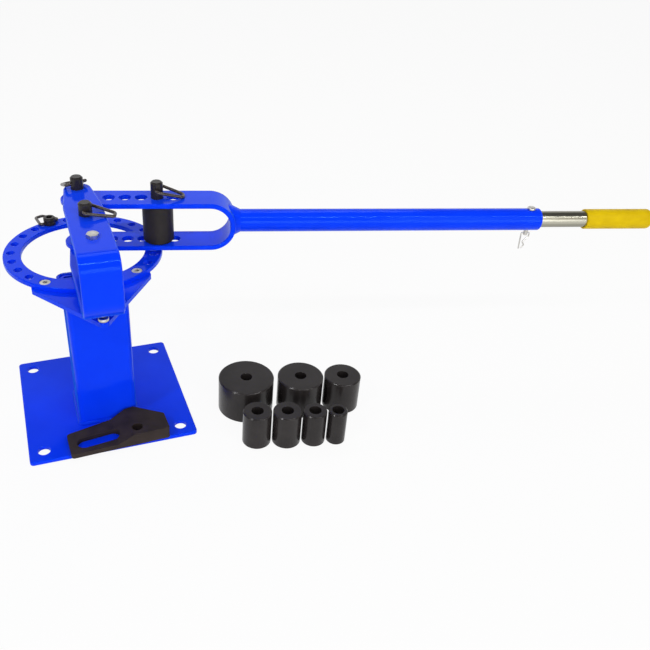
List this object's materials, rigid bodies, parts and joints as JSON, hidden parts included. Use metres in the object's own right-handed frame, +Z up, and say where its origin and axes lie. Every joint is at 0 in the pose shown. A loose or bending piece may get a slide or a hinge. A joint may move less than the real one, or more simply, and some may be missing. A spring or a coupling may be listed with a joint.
{
  "type": "bench pipe bender",
  "caption": "Pedestal pipe bender: swinging forked yoke with long handle on a C-shaped gooseneck, index ring, pins with wire loops, loose round dies and a slotted stop block.",
  "frame": {"origin": "centre of the base plate's underside", "axes": "+Z up, +X to the right of the operator towards the handle, +Y to the back, the gooseneck's web faces -Y"},
  "size_m": [0.8732, 0.362, 0.3077],
  "materials": {
    "blue_paint": "gloss",
    "black_steel": "black oxide, satin",
    "black_wire": "black oxide wire",
    "zinc": "zinc plated",
    "bare_tube": "bare drawn tube",
    "yellow_grip": "dipped vinyl"
  },
  "bodies": {
    "frame": {"base_plate": "blue_paint", "column": "blue_paint", "cap_plate": "blue_paint", "riser_front": "blue_paint", "riser_rear": "blue_paint", "index_ring": "blue_paint", "gooseneck": "blue_paint", "ring_screws": "zinc", "ring_nuts": "zinc", "clamp_bolt": "zinc", "clamp_washer": "zinc", "clamp_nut": "zinc"},
    "swing_arm": {"yoke": "blue_paint", "handle_tube": "blue_paint", "handle_extension": "bare_tube", "grip": "yellow_grip"},
    "roller": {"forming_roller": "black_steel"},
    "pivot_pin": {"pivot_pin": "black_steel"},
    "pivot_bail": {"pivot_pin_bail": "black_wire"},
    "holding_pin": {"holding_pin": "black_steel"},
    "holding_bail": {"holding_pin_bail": "black_wire"},
    "roller_pin": {"roller_pin": "black_steel"},
    "roller_bail": {"roller_pin_bail": "black_wire"},
    "stop_pin": {"angle_stop_pin": "black_steel"},
    "stop_bail": {"angle_stop_pin_bail": "black_wire"},
    "lock_pin": {"lock_pin": "zinc"},
    "clip": {"hairpin_clip": "zinc"},
    "stop_block": {"stop_block": "black_steel"},
    "die_76": {"die_76": "black_steel"},
    "die_64": {"die_64": "black_steel"},
    "die_51": {"die_51": "black_steel"},
    "die_38_left": {"die_38_left": "black_steel"},
    "die_38_right": {"die_38_right": "black_steel"},
    "die_32": {"die_32": "black_steel"},
    "die_25": {"die_25": "black_steel"}
  },
  "joints": [
    {"name": "arm_swing", "type": "hinge", "parent": "frame", "child": "swing_arm", "pos_m": [0, 0.065, 0.2462], "axis": [0, 0, 1], "range_deg": [-46, 100]},
    {"name": "roller_spin", "type": "hinge", "parent": "swing_arm", "child": "roller", "pos_m": [0.09646, 0.04184, 0.2462], "axis": [0, 0, 1], "continuous": true},
    {"name": "pivot_pin_lift", "type": "slide", "parent": "frame", "child": "pivot_pin", "axis": [0, 0, 1], "range_m": [0, 0.12]},
    {"name": "pivot_bail_fold", "type": "hinge", "parent": "pivot_pin", "child": "pivot_bail", "pos_m": [0, 0.065, 0.2991], "axis": [0.9272, 0.3746, 0], "range_deg": [0, 150]},
    {"name": "holding_pin_lift", "type": "slide", "parent": "frame", "child": "holding_pin", "axis": [0, 0, 1], "range_m": [0, 0.12]},
    {"name": "holding_bail_fold", "type": "hinge", "parent": "holding_pin", "child": "holding_bail", "pos_m": [0, -0.0136, 0.2991], "axis": [-0.2756, -0.9613, 0], "range_deg": [0, 150]},
    {"name": "roller_pin_lift", "type": "slide", "parent": "swing_arm", "child": "roller_pin", "axis": [0, 0, 1], "range_m": [0, 0.1]},
    {"name": "roller_bail_fold", "type": "hinge", "parent": "roller_pin", "child": "roller_bail", "pos_m": [0.09646, 0.04184, 0.2916], "axis": [-0.2334, -0.9724, 0], "range_deg": [0, 150]},
    {"name": "stop_pin_lift", "type": "slide", "parent": "frame", "child": "stop_pin", "axis": [0, 0, 1], "range_m": [0, 0.03]},
    {"name": "stop_bail_fold", "type": "hinge", "parent": "stop_pin", "child": "stop_bail", "pos_m": [-0.03559, 0.15092, 0.2082], "axis": [0.8829, 0.4695, 0], "range_deg": [0, 150]},
    {"name": "lock_pin_turn", "type": "hinge", "parent": "swing_arm", "child": "lock_pin", "pos_m": [0.5911, -0.07691, 0.2462], "axis": [0, 0, 1], "continuous": true},
    {"name": "clip_swing", "type": "hinge", "parent": "lock_pin", "child": "clip", "pos_m": [0.5911, -0.07691, 0.2257], "axis": [0.9724, -0.2334, 0], "range_deg": [-60, 60]},
    {"name": "stop_block_lift", "type": "slide", "parent": "frame", "child": "stop_block", "axis": [0, 0, 1], "range_m": [0, 0.1]},
    {"name": "die_76_lift", "type": "slide", "parent": "frame", "child": "die_76", "axis": [0, 0, 1], "range_m": [0, 0.1]},
    {"name": "die_64_lift", "type": "slide", "parent": "frame", "child": "die_64", "axis": [0, 0, 1], "range_m": [0, 0.1]},
    {"name": "die_51_lift", "type": "slide", "parent": "frame", "child": "die_51", "axis": [0, 0, 1], "range_m": [0, 0.1]},
    {"name": "die_38_left_lift", "type": "slide", "parent": "frame", "child": "die_38_left", "axis": [0, 0, 1], "range_m": [0, 0.1]},
    {"name": "die_38_right_lift", "type": "slide", "parent": "frame", "child": "die_38_right", "axis": [0, 0, 1], "range_m": [0, 0.1]},
    {"name": "die_32_lift", "type": "slide", "parent": "frame", "child": "die_32", "axis": [0, 0, 1], "range_m": [0, 0.1]},
    {"name": "die_25_lift", "type": "slide", "parent": "frame", "child": "die_25", "axis": [0, 0, 1], "range_m": [0, 0.1]}
  ]
}
